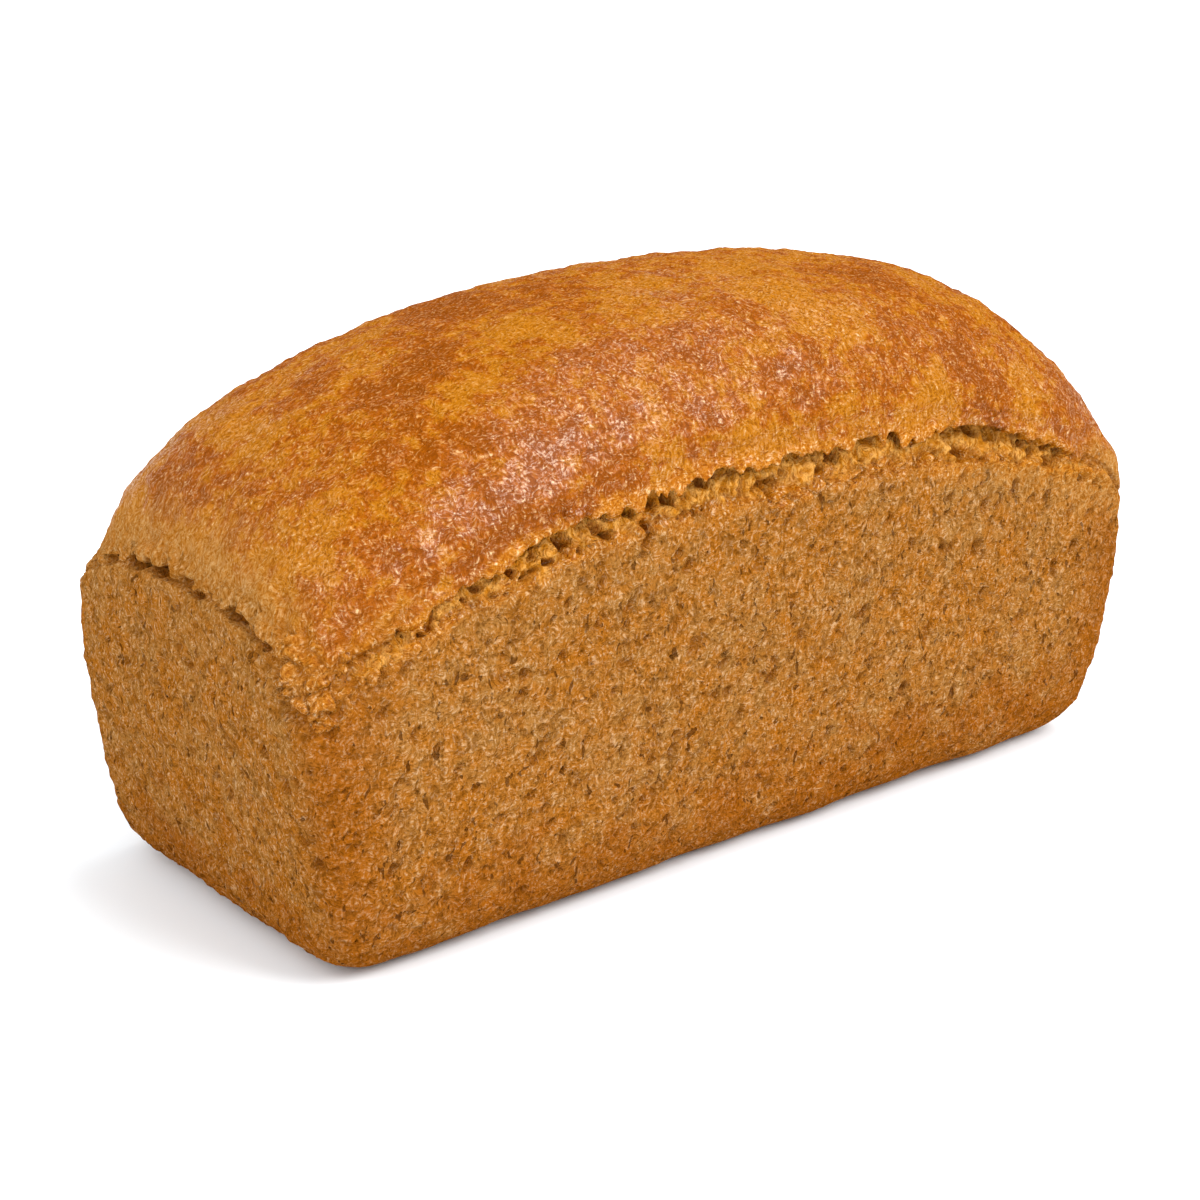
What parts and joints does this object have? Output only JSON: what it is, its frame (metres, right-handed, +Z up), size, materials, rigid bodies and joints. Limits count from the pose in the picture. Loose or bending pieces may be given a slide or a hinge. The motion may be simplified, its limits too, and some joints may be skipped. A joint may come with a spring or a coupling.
{
  "type": "tin loaf",
  "caption": "Wholemeal tin loaf with flared straight walls, rounded corners, a domed glossy crust and a torn band under the crust along the front.",
  "frame": {"origin": "centre of the loaf's flat base", "axes": "+X along the loaf, -Y out of the long side with the big tear, +Z up"},
  "size_m": [0.2538, 0.1087, 0.1335],
  "materials": {
    "bread": "baked wholemeal bread: matte pitted ochre walls, paler torn crumb, glossy mottled orange-brown top crust"
  },
  "bodies": {
    "root": {"loaf": "bread"}
  },
  "joints": []
}
